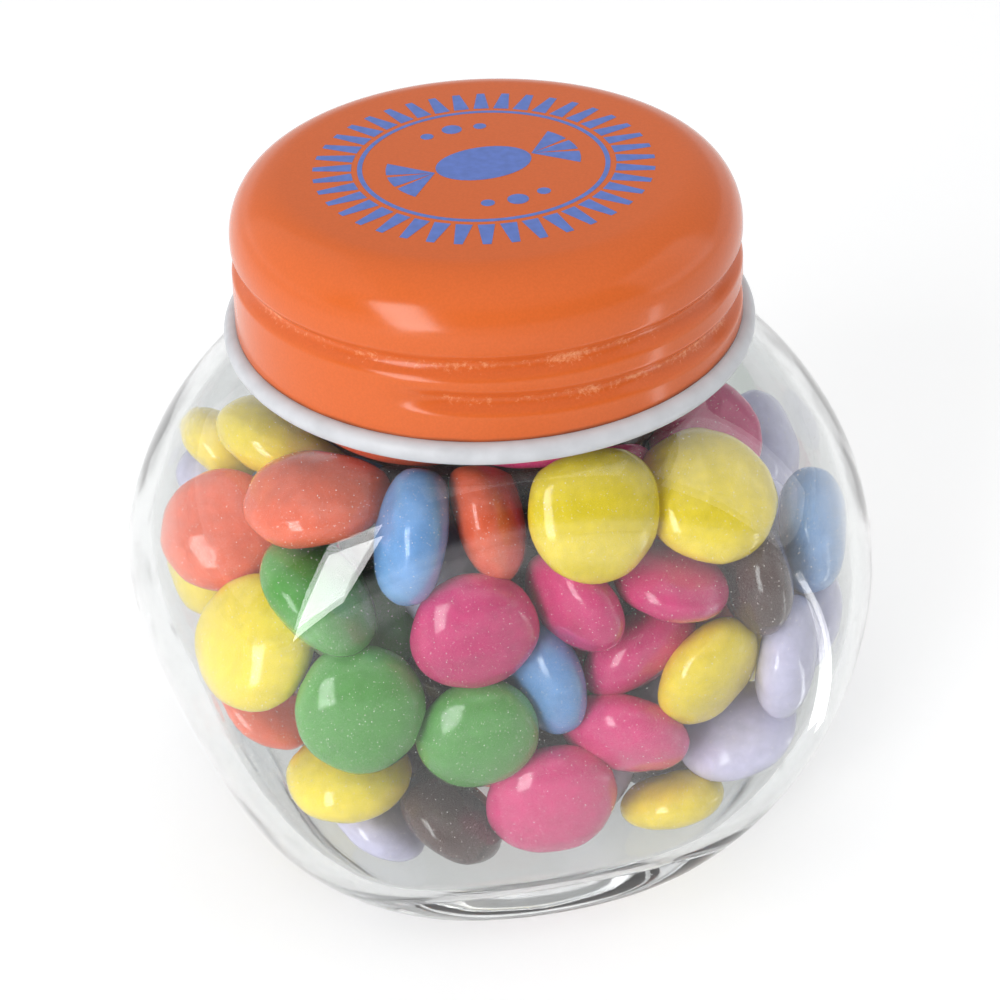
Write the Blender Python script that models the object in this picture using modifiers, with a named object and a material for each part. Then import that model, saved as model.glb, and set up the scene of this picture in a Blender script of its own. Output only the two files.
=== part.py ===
# A small glass sweet jar, a blown ball pressed flat front and back, filled with sugar-shelled
# chocolate lentils and closed by a round screw lid of painted sheet metal.
# Metres, +Z up. The origin is the middle of the base; the jar is widest along X, and its front
# flat faces -Y.

import math
import random

import bmesh
import bpy
from mathutils import Euler, Matrix, Vector
from mathutils.bvhtree import BVHTree

# the glass ball and what presses it
BALL_RADIUS = 0.0346
BALL_HEIGHT = 0.0242           # height of the ball's middle over the table
DOME_SQUASH = 0.862            # the upper half is this much lower than a true ball
FLAT_DISTANCE = 0.0255         # from the middle to the front and back flats
FLAT_LEAN = math.radians(3.5)  # the flats lean in a little towards the top
SLANT_DISTANCE = 0.0332        # from the ball's middle to the small slanted flat on the left
SLANT_SWING = math.radians(16)
SLANT_DIP = math.radians(13.5)
CREASE_POWER = 21              # the higher, the tighter the creases between the flats
WALL = 0.0017
FLOOR = 0.0042
BEARING_SNAP = 0.00012         # what is this close to the table is ground flat on it
RECESS_RADIUS = 0.0130
RECESS_DEPTH = 0.0006

# the neck under the lid
NECK_RADIUS = 0.0197
BORE_RADIUS = 0.0170
NECK_ROOT = 0.0464

# the lid
LID_EDGE = 0.0508              # height of the rolled edge's middle
LID_TOP = 0.0641
LID_WALL = 0.0010
LID_BORE = 0.0203
SHOULDER_RADIUS = 0.0210
SHOULDER_ROUND = 0.0051
SKIRT_RADIUS = 0.02145
RIM_RADIUS = 0.0225
RIM_TUBE = 0.0010
MOUTH_DROP = 0.0026            # the mouth stops under the lid's rounded corner

# thread grooves rolled into the skirt, heights over the rolled edge
GROOVE_DEPTH = 0.00045
GROOVE_HALF = 0.0010
GROOVE_PITCH = 0.0040
UPPER_GROOVE = 0.0069
LOWER_GROOVE = 0.0042
LOWER_START = math.radians(-121)   # the lower groove starts here and runs to the right
LOWER_TURN = math.radians(190)
GROOVE_FADE = math.radians(12)

# the sweets
LENTIL_RADIUS = 0.0050
LENTIL_HALF = 0.0026
LENTIL_COUNT = 92
LENTIL_TILT = math.radians(32)
SIZE_SPREAD = 0.06
HEAP_GAP = 0.0005              # kept between the sweets and the glass
CORE_INSET = 0.0041            # the core lies this deep under the outermost sweets
HEAP_SEED = 7

BALL_SEGMENTS = 56
BALL_RINGS = 28
CAVITY_SEGMENTS = 40
CAVITY_RINGS = 20
LID_SEGMENTS = 48
NECK_SEGMENTS = 40
CORE_SEGMENTS = 20
CORE_RINGS = 12
LENTIL_SEGMENTS = 8
LENTIL_RINGS = 4

MIDDLE = Vector((0, 0, BALL_HEIGHT))
GOLDEN_ANGLE = math.pi * (3 - math.sqrt(5))


def clear_scene():
    for obj in list(bpy.data.objects):
        bpy.data.objects.remove(obj, do_unlink=True)


def new_collection(name):
    collection = bpy.data.collections.new(name)
    bpy.context.scene.collection.children.link(collection)
    return collection


def principled(name, colour, roughness, metallic=0.0, transmission=0.0):
    material = bpy.data.materials.new(name)
    material.use_nodes = True
    shader = material.node_tree.nodes["Principled BSDF"]
    shader.inputs["Base Color"].default_value = (*colour, 1)
    shader.inputs["Roughness"].default_value = roughness
    shader.inputs["Metallic"].default_value = metallic
    shader.inputs["Transmission Weight"].default_value = transmission
    return material


def new_object(name, mesh, collection):
    obj = bpy.data.objects.new(name, mesh)
    collection.objects.link(obj)
    return obj


def mesh_from(name, bm):
    mesh = bpy.data.meshes.new(name)
    bm.to_mesh(mesh)
    bm.free()
    return mesh


def settle(obj):
    """Applies the object's modifiers to its mesh."""
    depsgraph = bpy.context.evaluated_depsgraph_get()
    mesh = bpy.data.meshes.new_from_object(obj.evaluated_get(depsgraph))
    obj.modifiers.clear()
    obj.data = mesh


def hide_cutter(obj):
    obj.hide_render = True
    obj.display_type = 'WIRE'


def boolean(obj, operation, other):
    modifier = obj.modifiers.new(other.name, 'BOOLEAN')
    modifier.operation = operation
    modifier.object = other


def finish_smooth(obj, material, angle=35):
    obj.data.materials.clear()
    obj.data.materials.append(material)
    obj.data.shade_smooth()
    obj.data.set_sharp_from_angle(angle=math.radians(angle))


def arc(centre, radius, start, stop, steps):
    """Points of a round stretch in the XZ plane, angles in degrees from +X."""
    points = []
    for i in range(steps + 1):
        angle = math.radians(start + (stop - start) * i / steps)
        points.append((centre[0] + radius * math.cos(angle), centre[1] + radius * math.sin(angle)))
    return points


def turned(name, profile, segments, collection):
    """A profile of (radius, height) points, turned about Z; it runs down its outer side."""
    mesh = bpy.data.meshes.new(name)
    edges = [(i, i + 1) for i in range(len(profile) - 1)]
    mesh.from_pydata([(radius, 0, height) for radius, height in profile], edges, [])
    obj = new_object(name, mesh, collection)
    screw = obj.modifiers.new("turn", 'SCREW')
    screw.axis = 'Z'
    screw.steps = segments
    screw.render_steps = segments
    screw.use_merge_vertices = True
    screw.merge_threshold = 0.00001
    settle(obj)
    return obj


def pressing_flats(inset, floor):
    """Outward normal and distance from the ball's middle of each flat that presses the ball."""
    lean_y = math.cos(FLAT_LEAN)
    lean_z = math.sin(FLAT_LEAN)
    slant_x = -math.cos(SLANT_DIP) * math.cos(SLANT_SWING)
    slant_y = -math.cos(SLANT_DIP) * math.sin(SLANT_SWING)
    return [
        (Vector((0, -lean_y, lean_z)), FLAT_DISTANCE - inset),
        (Vector((0, lean_y, lean_z)), FLAT_DISTANCE - inset),
        (Vector((slant_x, slant_y, -math.sin(SLANT_DIP))), SLANT_DISTANCE - inset),
        (Vector((0, 0, -1)), BALL_HEIGHT - floor),
    ]


def pressed_radius(direction, inset, floor):
    """How far the wall is from the ball's middle: a soft least of the ball and its flats."""
    squash = DOME_SQUASH if direction.z > 0 else 1
    stretched = Vector((direction.x, direction.y, direction.z / squash))
    total = (stretched.length / (BALL_RADIUS - inset)) ** CREASE_POWER
    for normal, distance in pressing_flats(inset, floor):
        facing = direction.dot(normal)
        if facing > 0:
            total += (facing / distance) ** CREASE_POWER
    return total ** (-1 / CREASE_POWER)


def pressed_ball(name, inset, floor, segments, rings, collection):
    bm = bmesh.new()
    bmesh.ops.create_uvsphere(bm, u_segments=segments, v_segments=rings, radius=1)
    for vert in bm.verts:
        direction = vert.co.normalized()
        vert.co = MIDDLE + direction * pressed_radius(direction, inset, floor)
        if vert.co.z < BEARING_SNAP:
            vert.co.z = 0
    return new_object(name, mesh_from(name, bm), collection)


def cylinder(name, radius, bottom, top, segments, collection):
    bm = bmesh.new()
    bmesh.ops.create_cone(bm, cap_ends=True, segments=segments, radius1=radius, radius2=radius,
                          depth=top - bottom,
                          matrix=Matrix.Translation((0, 0, (top + bottom) / 2)))
    return new_object(name, mesh_from(name, bm), collection)


def make_jar(parts, cutters):
    """The glass: pressed ball and neck, hollowed through the mouth. Returns its hollow's shape."""
    mouth = LID_TOP - LID_WALL - MOUTH_DROP
    lip = 0.0006
    jar = pressed_ball("jar", 0, 0, BALL_SEGMENTS, BALL_RINGS, parts)
    neck_profile = [(0, mouth), (NECK_RADIUS - lip, mouth), (NECK_RADIUS, mouth - lip),
                    (NECK_RADIUS, NECK_ROOT), (0, NECK_ROOT)]
    neck = turned("neck_blank", neck_profile, NECK_SEGMENTS, cutters)
    cavity = pressed_ball("cavity", WALL, FLOOR, CAVITY_SEGMENTS, CAVITY_RINGS, cutters)
    bore = cylinder("bore", BORE_RADIUS, BALL_HEIGHT, mouth + lip, NECK_SEGMENTS, cutters)
    recess = cylinder("recess", RECESS_RADIUS, -RECESS_DEPTH, RECESS_DEPTH, NECK_SEGMENTS, cutters)
    boolean(jar, 'UNION', neck)
    for cutter in (cavity, bore, recess):
        boolean(jar, 'DIFFERENCE', cutter)
    for cutter in (neck, cavity, bore, recess):
        hide_cutter(cutter)
    settle(jar)
    glass = principled("clear_glass", (0.93, 0.96, 0.96), 0.02, transmission=1)
    finish_smooth(jar, glass, angle=50)
    return cavity


def groove_dip(offset):
    """Cross-section of a groove: 1 in its middle, falling softly to 0 at its edges."""
    reach = abs(offset) / GROOVE_HALF
    return 0.5 + 0.5 * math.cos(math.pi * reach) if reach < 1 else 0


def groove_depth(angle, height):
    """How far the skirt is pressed in at this place by the two thread grooves."""
    upper = groove_dip(height - UPPER_GROOVE)
    travel = (angle - LOWER_START) % (2 * math.pi)
    if travel > LOWER_TURN:
        return GROOVE_DEPTH * upper
    drop = GROOVE_PITCH * travel / (2 * math.pi)
    fade = min(1, travel / GROOVE_FADE, (LOWER_TURN - travel) / GROOVE_FADE)
    lower = groove_dip(height - LOWER_GROOVE + drop) * fade
    return GROOVE_DEPTH * max(upper, lower)


def lid_profile():
    shoulder = (SHOULDER_RADIUS - SHOULDER_ROUND, LID_TOP - SHOULDER_ROUND)
    profile = [(0, LID_TOP)] + arc(shoulder, SHOULDER_ROUND, 90, 0, 7)
    side_top = LID_TOP - SHOULDER_ROUND
    side_bottom = LID_EDGE + RIM_TUBE
    steps = 12
    for i in range(1, steps):
        part = i / steps
        radius = SHOULDER_RADIUS + (SKIRT_RADIUS - SHOULDER_RADIUS) * part
        profile.append((radius, side_top + (side_bottom - side_top) * part))
    profile += arc((RIM_RADIUS - RIM_TUBE, LID_EDGE), RIM_TUBE, 90, -180, 8)
    ceiling = LID_TOP - LID_WALL
    corner = SHOULDER_ROUND - LID_WALL
    inner = arc((LID_BORE - corner, ceiling - corner), corner, 0, 90, 4)
    return profile + [(LID_BORE, LID_EDGE + RIM_TUBE)] + inner + [(0, ceiling)]


def make_lid(parts):
    """Pressed from one sheet: domed shoulder, thread grooves, flared skirt and rolled edge."""
    lid = turned("lid", lid_profile(), LID_SEGMENTS, parts)
    for vert in lid.data.vertices:
        radius = math.hypot(vert.co.x, vert.co.y)
        height = vert.co.z - LID_EDGE
        if radius > LID_BORE + LID_WALL / 4 and height > RIM_TUBE:
            angle = math.atan2(vert.co.y, vert.co.x)
            scale = 1 - groove_depth(angle, height) / radius
            vert.co.x *= scale
            vert.co.y *= scale
    finish_smooth(lid, principled("orange_enamel", (0.72, 0.13, 0.03), 0.3, metallic=0.1))
    return lid


def lentil_mesh(size, turn):
    """One sweet: a flattened ball, thicker in the middle than at its blunt edge."""
    bm = bmesh.new()
    bmesh.ops.create_uvsphere(bm, u_segments=LENTIL_SEGMENTS, v_segments=LENTIL_RINGS, radius=1)
    radius = LENTIL_RADIUS * size
    squash = Matrix.Diagonal((radius, radius, LENTIL_HALF * size, 1))
    bmesh.ops.transform(bm, matrix=turn.to_matrix().to_4x4() @ squash, verts=bm.verts)
    return bm


def wall_room(point, walls):
    """Free length between a point and the glass, past the gap, on the line from the middle."""
    offset = point - MIDDLE
    distance = walls.ray_cast(MIDDLE, offset.normalized())[3]
    return distance - HEAP_GAP - offset.length


def wall_normal(direction):
    """Outward normal of the pressed wall where this direction meets it."""
    side = direction.orthogonal().normalized()
    other = direction.cross(side)
    step = 0.02
    points = []
    for shift in (side, other, -side, -other):
        near = (direction + shift * step).normalized()
        points.append(near * pressed_radius(near, WALL, FLOOR))
    normal = (points[0] - points[2]).cross(points[1] - points[3]).normalized()
    return normal if normal.dot(direction) > 0 else -normal


def place_lentil(index, chance, walls):
    """One sweet against the glass, tilted at random and drawn in until it clears the wall."""
    height = 1 - 2 * (index + 0.5) / LENTIL_COUNT
    turn = GOLDEN_ANGLE * index + chance.uniform(-0.06, 0.06)
    across = math.sqrt(1 - height * height)
    direction = Vector((across * math.cos(turn), across * math.sin(turn), height))
    normal = wall_normal(direction)
    tilt = Euler((chance.uniform(-LENTIL_TILT, LENTIL_TILT),
                  chance.uniform(-LENTIL_TILT, LENTIL_TILT), chance.uniform(0, math.pi)))
    facing = normal.to_track_quat('Z', 'Y') @ tilt.to_quaternion()
    bm = lentil_mesh(1 + chance.uniform(-SIZE_SPREAD, SIZE_SPREAD), facing)
    place = MIDDLE + direction * pressed_radius(direction, WALL, FLOOR)
    for _ in range(6):
        short = min(wall_room(place + vert.co, walls) for vert in bm.verts)
        place += direction * short
    bmesh.ops.translate(bm, vec=place, verts=bm.verts)
    return bm


def keep_largest(obj):
    """Drops the loose scraps that the union can leave inside the heap."""
    bm = bmesh.new()
    bm.from_mesh(obj.data)
    left = set(bm.verts)
    islands = []
    while left:
        island = {left.pop()}
        frontier = list(island)
        while frontier:
            vert = frontier.pop()
            for edge in vert.link_edges:
                other = edge.other_vert(vert)
                if other in left:
                    left.remove(other)
                    island.add(other)
                    frontier.append(other)
        islands.append(island)
    islands.sort(key=len, reverse=True)
    for island in islands[1:]:
        bmesh.ops.delete(bm, geom=list(island), context='VERTS')
    bm.to_mesh(obj.data)
    bm.free()


def make_chocolates(parts, cavity):
    """The heap that fills the jar: a core, with the sweets that show joined on all round it."""
    depth = HEAP_GAP + CORE_INSET
    heap = pressed_ball("chocolates", WALL + depth, FLOOR + depth, CORE_SEGMENTS, CORE_RINGS, parts)
    sweets = new_collection("sweets")
    chance = random.Random(HEAP_SEED)
    walls = BVHTree.FromObject(cavity, bpy.context.evaluated_depsgraph_get())
    for index in range(LENTIL_COUNT):
        name = "sweet_%d" % index
        new_object(name, mesh_from(name, place_lentil(index, chance, walls)), sweets)
    union = heap.modifiers.new("sweets", 'BOOLEAN')
    union.operation = 'UNION'
    union.operand_type = 'COLLECTION'
    union.collection = sweets
    settle(heap)
    for sweet in list(sweets.objects):
        bpy.data.objects.remove(sweet, do_unlink=True)
    bpy.data.collections.remove(sweets)
    keep_largest(heap)
    finish_smooth(heap, principled("sugar_shell", (0.62, 0.16, 0.18), 0.35))
    return heap


def main():
    clear_scene()
    parts = new_collection("jar_of_chocolates")
    cutters = new_collection("cutters")
    cavity = make_jar(parts, cutters)
    make_lid(parts)
    make_chocolates(parts, cavity)


main()
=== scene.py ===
# A small glass sweet jar: a blown ball pressed flat front and back, a screw lid of orange
# enamel with a rolled grey edge, and the sugar-shelled chocolate lentils that fill it.
# Metres, +Z up, the front flat faces -Y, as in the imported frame.

import math

import bmesh
import bpy
import numpy as np
from mathutils import Matrix, Vector
from mathutils.bvhtree import BVHTree


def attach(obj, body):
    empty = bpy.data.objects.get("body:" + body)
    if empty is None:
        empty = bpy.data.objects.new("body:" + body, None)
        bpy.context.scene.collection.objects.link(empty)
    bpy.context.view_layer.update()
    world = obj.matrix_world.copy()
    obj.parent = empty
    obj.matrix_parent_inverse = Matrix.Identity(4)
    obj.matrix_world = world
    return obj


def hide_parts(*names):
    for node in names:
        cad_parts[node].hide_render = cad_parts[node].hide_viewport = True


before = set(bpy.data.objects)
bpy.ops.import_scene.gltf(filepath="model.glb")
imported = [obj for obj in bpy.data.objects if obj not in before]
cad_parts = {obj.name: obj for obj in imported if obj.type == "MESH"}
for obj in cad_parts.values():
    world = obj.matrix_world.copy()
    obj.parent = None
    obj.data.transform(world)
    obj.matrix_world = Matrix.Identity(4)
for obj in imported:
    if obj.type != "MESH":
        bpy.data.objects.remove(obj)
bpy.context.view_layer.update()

cameraSet = {
    "place": (-0.02012, -0.12462, 0.12384),
    "aim": (-0.001904, -0.01364, 0.040463),
    "roll": math.radians(-2.085),
    "lens": 61.2,
    "sensor": 36.0,
    "nearest": 0.005,
    "photoSide": 1000,
}

lightSet = {
    "paperTone": (0.80, 0.81, 0.82),     # white paper all along the table
    "hazeTone": (0.42, 0.425, 0.43),     # the studio above it
    "roomTone": (0.10, 0.10, 0.105),     # the darker room behind the camera
    "roomFrom": 0.19,                    # where it starts and ends, as the sine of the height
    "roomTo": 0.62,
    "roomEdge": 0.05,
    "roomBehind": (0.1, -0.2),           # where it fades in towards the camera's side
    "floorSide": 3.0,
    "floorTone": (0.67, 0.67, 0.67),
    "floorRoughness": 0.8,
    "floorGlow": 0.40,
    # painted shade: a darker patch of board, which also glows less, just below the picture
    "paintedShadeTone": (0.54, 0.54, 0.54),       # a dimmer patch of board, just below the picture
    "paintedShadeGlow": (0.1, 0.1, 0.1),
    "paintedShadeMiddle": (0, -0.090, 0),
    "paintedShadeFrom": 0.050,
    "paintedShadeTo": 0.022,
    "target": (0, 0, 0.035),
}

# where each softbox stands seen from the jar, in degrees, its size and how bright it is
softboxes = {
    "windowBox": dict(azimuth=-135, elevation=21, distance=0.80, width=0.27, height=0.60,
                      roll=24, brightness=6.7),
    "leftBox": dict(azimuth=157, elevation=34, distance=0.80, width=0.95, height=0.80,
                    roll=0, brightness=0.32),
    "rightBox": dict(azimuth=-8, elevation=24, distance=0.80, width=0.60, height=0.60,
                     roll=0, brightness=0.7),
    "overBox": dict(azimuth=0, elevation=84, distance=0.80, width=1.10, height=0.85,
                    roll=0, brightness=0.78, mirrored=False),
}

# a wedge of light on the table at the jar's right, which shows as a streak in the glass
gleamSet = {
    "near": 0.046,
    "far": 0.24,
    "swing": math.radians(-29),
    "spread": math.radians(2.8),
    "height": 0.0003,
    "brightness": 4.0,
}


def makeCamera():
    data = bpy.data.cameras.new("camera")
    data.lens = cameraSet["lens"]
    data.sensor_width = cameraSet["sensor"]
    data.clip_start = cameraSet["nearest"]
    camera = bpy.data.objects.new("camera", data)
    bpy.context.scene.collection.objects.link(camera)
    place = Vector(cameraSet["place"])
    look = (Vector(cameraSet["aim"]) - place).to_track_quat("-Z", "Y").to_matrix()
    turned = look @ Matrix.Rotation(cameraSet["roll"], 3, "Z")
    camera.matrix_world = Matrix.Translation(place) @ turned.to_4x4()
    bpy.context.scene.camera = camera
    return np.array(place), np.array(turned)


def makeWorld():
    # white paper low down, haze above it and a darker room behind the camera
    world = bpy.data.worlds.new("studio")
    world.use_nodes = True
    tree = world.node_tree
    way = addNode(tree, "ShaderNodeTexCoord").outputs["Generated"]
    heading = addNode(tree, "ShaderNodeSeparateXYZ", {0: way}).outputs
    low, high, edge = lightSet["roomFrom"], lightSet["roomTo"], lightSet["roomEdge"]
    overPaper = rangeNode(tree, heading["Z"], low - edge, low + edge, shape="SMOOTHSTEP")
    underTop = rangeNode(tree, heading["Z"], high + edge, high - edge, shape="SMOOTHSTEP")
    behind = rangeNode(tree, heading["Y"], *lightSet["roomBehind"], shape="SMOOTHSTEP")
    room = mathNode(tree, "MULTIPLY", mathNode(tree, "MULTIPLY", overPaper, underTop), behind)
    haze = mixTones(tree, overPaper, (*lightSet["paperTone"], 1), (*lightSet["hazeTone"], 1))
    tone = mixTones(tree, room, haze, (*lightSet["roomTone"], 1))
    tree.links.new(tone, tree.nodes["Background"].inputs["Color"])
    bpy.context.scene.world = world


def makeLights():
    target = Vector(lightSet["target"])
    for name, box in softboxes.items():
        azimuth = math.radians(box["azimuth"])
        elevation = math.radians(box["elevation"])
        away = Vector((math.cos(azimuth) * math.cos(elevation),
                       math.sin(azimuth) * math.cos(elevation), math.sin(elevation)))
        facing = (-away).to_track_quat("-Z", "Y").to_matrix()
        rolled = facing @ Matrix.Rotation(math.radians(box["roll"]), 3, "Z")
        lamp = bpy.data.lights.new(name, "AREA")
        lamp.shape = "RECTANGLE"
        lamp.size = box["width"]
        lamp.size_y = box["height"]
        lamp.energy = box["brightness"] * 4 * box["width"] * box["height"]   # an even glow
        holder = bpy.data.objects.new(name, lamp)
        bpy.context.scene.collection.objects.link(holder)
        holder.matrix_world = Matrix.Translation(target + away * box["distance"]) @ rolled.to_4x4()
        holder.visible_glossy = box.get("mirrored", True)


def flatSheet(name, corners, finish):
    mesh = bpy.data.meshes.new(name)
    mesh.from_pydata(corners, [], [(0, 1, 2, 3)])
    return newPiece(name, mesh, finish, smooth=False)


def makeFloor():
    side = lightSet["floorSide"] / 2
    finish, tree, shader = newFinish("whiteBoard", lightSet["floorTone"], lightSet["floorRoughness"])
    # painted shade: round a spot in front of the jar the board is darker and glows less
    away = addNode(tree, "ShaderNodeVectorMath", {0: objectPlace(tree), 1: lightSet["paintedShadeMiddle"]},
                   operation="DISTANCE").outputs["Value"]
    outsideShade = rangeNode(tree, away, lightSet["paintedShadeTo"], lightSet["paintedShadeFrom"], shape="SMOOTHSTEP")
    tone = blendTones(tree, outsideShade, 0, 1, lightSet["paintedShadeTone"], lightSet["floorTone"])
    glow = blendTones(tree, outsideShade, 0, 1, lightSet["paintedShadeGlow"], (1, 1, 1))
    tree.links.new(tone, shader.inputs["Base Color"])
    tree.links.new(glow, shader.inputs["Emission Color"])
    shader.inputs["Emission Strength"].default_value = lightSet["floorGlow"]
    corners = [(-side, -side, 0), (side, -side, 0), (side, side, 0), (-side, side, 0)]
    floor = flatSheet("floor", corners, finish)


def makeGleam():
    g = gleamSet
    finish, _, shader = newFinish("gleamLight", (0.8, 0.8, 0.8), lightSet["floorRoughness"])
    shader.inputs["Emission Color"].default_value = (1, 1, 1, 1)
    shader.inputs["Emission Strength"].default_value = g["brightness"]
    corners = []
    for distance, side in ((g["near"], -1), (g["far"], -1), (g["far"], 1), (g["near"], 1)):
        turn = g["swing"] + side * g["spread"]
        corners.append((distance * math.cos(turn), distance * math.sin(turn), g["height"]))
    wedge = flatSheet("tableGleam", corners, finish)
    wedge.visible_diffuse = False
    wedge.visible_camera = False
    wedge.visible_shadow = False


def newFinish(name, colour, roughness):
    finish = bpy.data.materials.new(name)
    finish.use_nodes = True
    tree = finish.node_tree
    shader = tree.nodes["Principled BSDF"]
    shader.inputs["Base Color"].default_value = (*colour, 1)
    shader.inputs["Roughness"].default_value = roughness
    return finish, tree, shader


def addNode(tree, kind, values=None, **settings):
    # each value is either fixed or another node's output
    node = tree.nodes.new(kind)
    for key, value in settings.items():
        setattr(node, key, value)
    for key, value in (values or {}).items():
        if isinstance(value, bpy.types.NodeSocket):
            tree.links.new(value, node.inputs[key])
        else:
            node.inputs[key].default_value = value
    return node


def mathNode(tree, operation, *terms):
    return addNode(tree, "ShaderNodeMath", dict(enumerate(terms)), operation=operation).outputs[0]


def rangeNode(tree, value, low, high, toHigh=1, shape="LINEAR"):
    # low to high becomes 0 to toHigh
    limits = {"Value": value, "From Min": low, "From Max": high, "To Max": toHigh}
    return addNode(tree, "ShaderNodeMapRange", limits, interpolation_type=shape).outputs["Result"]


def objectPlace(tree):
    return addNode(tree, "ShaderNodeTexCoord").outputs["Object"]


def noiseNode(tree, scale, detail, roughness=0.5):
    looks = {"Vector": objectPlace(tree), "Scale": scale, "Detail": detail, "Roughness": roughness}
    return addNode(tree, "ShaderNodeTexNoise", looks).outputs["Fac"]


def addBump(tree, shader, height, strength, distance):
    bump = addNode(tree, "ShaderNodeBump",
                   {"Strength": strength, "Distance": distance, "Height": height})
    tree.links.new(bump.outputs["Normal"], shader.inputs["Normal"])


def mixTones(tree, factor, low, high):
    # 0, 6 and 7 are the Mix node's factor and its two colours
    return addNode(tree, "ShaderNodeMix", {0: factor, 6: low, 7: high}, data_type="RGBA").outputs[2]


def blendTones(tree, value, low, high, lowTone, highTone):
    # a colour that goes from one tone to another as a value rises
    ramp = addNode(tree, "ShaderNodeValToRGB", {"Fac": value})
    for element, position, tone in zip(ramp.color_ramp.elements, (low, high), (lowTone, highTone)):
        element.position = position
        element.color = (*tone, 1)
    return ramp.outputs["Color"]


def scaled(tone, factor):
    return tuple(c * factor for c in tone)


def newPiece(name, mesh, finish=None, smooth=True):
    piece = bpy.data.objects.new(name, mesh)
    bpy.context.scene.collection.objects.link(piece)
    if finish:
        mesh.materials.clear()
        mesh.materials.append(finish)
    if smooth:
        mesh.shade_smooth()
    return piece


def ringMesh(name, rings, closeStart=None, closeEnd=None, looped=False):
    # rings of equally many points, joined row to row and closed by a point at either end,
    # or back to the first row
    rows, around = rings.shape[:2]
    points = [tuple(p) for p in rings.reshape(-1, 3)]
    faces = []
    for row in range(rows if looped else rows - 1):
        for i in range(around):
            j = (i + 1) % around
            low = row * around
            high = (row + 1) % rows * around
            faces.append((low + i, low + j, high + j, high + i))
    for end, row in ((closeStart, 0), (closeEnd, rows - 1)):
        if end is not None:
            points.append(tuple(end))
            for i in range(around):
                j = (i + 1) % around
                faces.append((row * around + i, row * around + j, len(points) - 1))
    mesh = bpy.data.meshes.new(name)
    mesh.from_pydata(points, [], faces)
    bm = bmesh.new()
    bm.from_mesh(mesh)
    bmesh.ops.recalc_face_normals(bm, faces=bm.faces)
    bm.to_mesh(mesh)
    bm.free()
    return mesh


def softGreater(a, b, power):
    return (a ** power + b ** power) ** (1 / power)


def softLess(a, b, power):
    return (a ** -power + b ** -power) ** (-1 / power)


def newTree(name, inputs):
    tree = bpy.data.node_groups.new(name, "GeometryNodeTree")
    tree.interface.new_socket("Geometry", in_out="INPUT", socket_type="NodeSocketGeometry")
    for title, kind, value in inputs:
        socket = tree.interface.new_socket(title, in_out="INPUT", socket_type=kind)
        if value is not None:
            socket.default_value = value
    tree.interface.new_socket("Geometry", in_out="OUTPUT", socket_type="NodeSocketGeometry")
    return tree, tree.nodes.new("NodeGroupInput").outputs


def endTree(tree, geometry, material):
    real = addNode(tree, "GeometryNodeRealizeInstances", {"Geometry": geometry})
    coat = addNode(tree, "GeometryNodeSetMaterial",
                   {"Geometry": real.outputs["Geometry"], "Material": material})
    addNode(tree, "NodeGroupOutput", {"Geometry": coat.outputs["Geometry"]})
    return tree


def growPiece(name, seedMesh, tree, values):
    # runs the tree on the seed mesh and keeps the result as a plain mesh
    piece = newPiece(name, seedMesh, smooth=False)
    modifier = piece.modifiers.new("grow", "NODES")
    modifier.node_group = tree
    for item in tree.interface.items_tree:
        if item.item_type == "SOCKET" and item.in_out == "INPUT" and item.name in values:
            modifier[item.identifier] = values[item.name]
    evaluated = piece.evaluated_get(bpy.context.evaluated_depsgraph_get())
    grown = bpy.data.meshes.new_from_object(evaluated)
    grown.name = name
    piece.modifiers.clear()
    piece.data = grown
    return piece


glassSet = {
    "ballRadius": 0.0346,
    "ballHeight": 0.0242,
    "domeSquash": 0.862,
    "flatDistance": 0.0255,
    "flatLean": math.radians(3.5),
    "slantDistance": 0.0332,
    "slantSwing": math.radians(16),
    "slantDip": math.radians(13.5),
    "creasePower": 21,
    "innerPower": 18,          # the inside is blown a little rounder than the mould
    "wall": 0.0017,
    "floor": 0.0042,
    "neckRadius": 0.0197,
    "boreRadius": 0.0170,
    "mouthHeight": 0.0605,
    "neckFrom": 0.3,           # the neck counts in directions that rise more steeply than this
    "rootPower": 60,
    "lipPower": 90,
    "recessRadius": 0.0130,
    "recessSlope": 0.0025,
    "recessDepth": 0.0006,
    "footTop": 0.002,
    "around": 288,
    "outerRows": 136,
    "innerRows": 112,
    "poleGap": (0.012, 0.015),     # outer and inner, in radians
    "lipStep": 0.02,
    "tint": (0.82, 0.835, 0.832),
    "bending": 1.5,
    "coat": 0.35,
    "smooth": 0.01,
    "waveScale": 95,
    "waveHeight": 0.05,
    "smearScale": 60,
    "smearRoughness": 0.05,
}

middle = np.array([0.0, 0.0, glassSet["ballHeight"]])


def pressedRadius(direction, inset, floor, power):
    # a soft least of the squashed ball, the two big flats, the slanted one and the base
    g = glassSet
    leanY = math.cos(g["flatLean"])
    leanZ = math.sin(g["flatLean"])
    slant = (-math.cos(g["slantDip"]) * math.cos(g["slantSwing"]),
             -math.cos(g["slantDip"]) * math.sin(g["slantSwing"]),
             -math.sin(g["slantDip"]))
    flats = [((0, -leanY, leanZ), g["flatDistance"] - inset),
             ((0, leanY, leanZ), g["flatDistance"] - inset),
             (slant, g["slantDistance"] - inset),
             ((0, 0, -1), g["ballHeight"] - floor)]
    z = direction[..., 2]
    squash = np.where(z > 0, g["domeSquash"], 1.0)
    stretched = np.sqrt(direction[..., 0] ** 2 + direction[..., 1] ** 2 + (z / squash) ** 2)
    total = (stretched / (g["ballRadius"] - inset)) ** power
    for normal, distance in flats:
        facing = np.maximum(direction @ np.array(normal), 0)
        total = total + (facing / distance) ** power
    return total ** (-1 / power)


def tubeRadius(z, radius):
    # how far from the ball's middle a round tube up its axis lies, in a direction of height z
    across = np.sqrt(np.maximum(1 - z ** 2, 0.02))
    return np.where(z > glassSet["neckFrom"], radius / across, 0.001)


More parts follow.
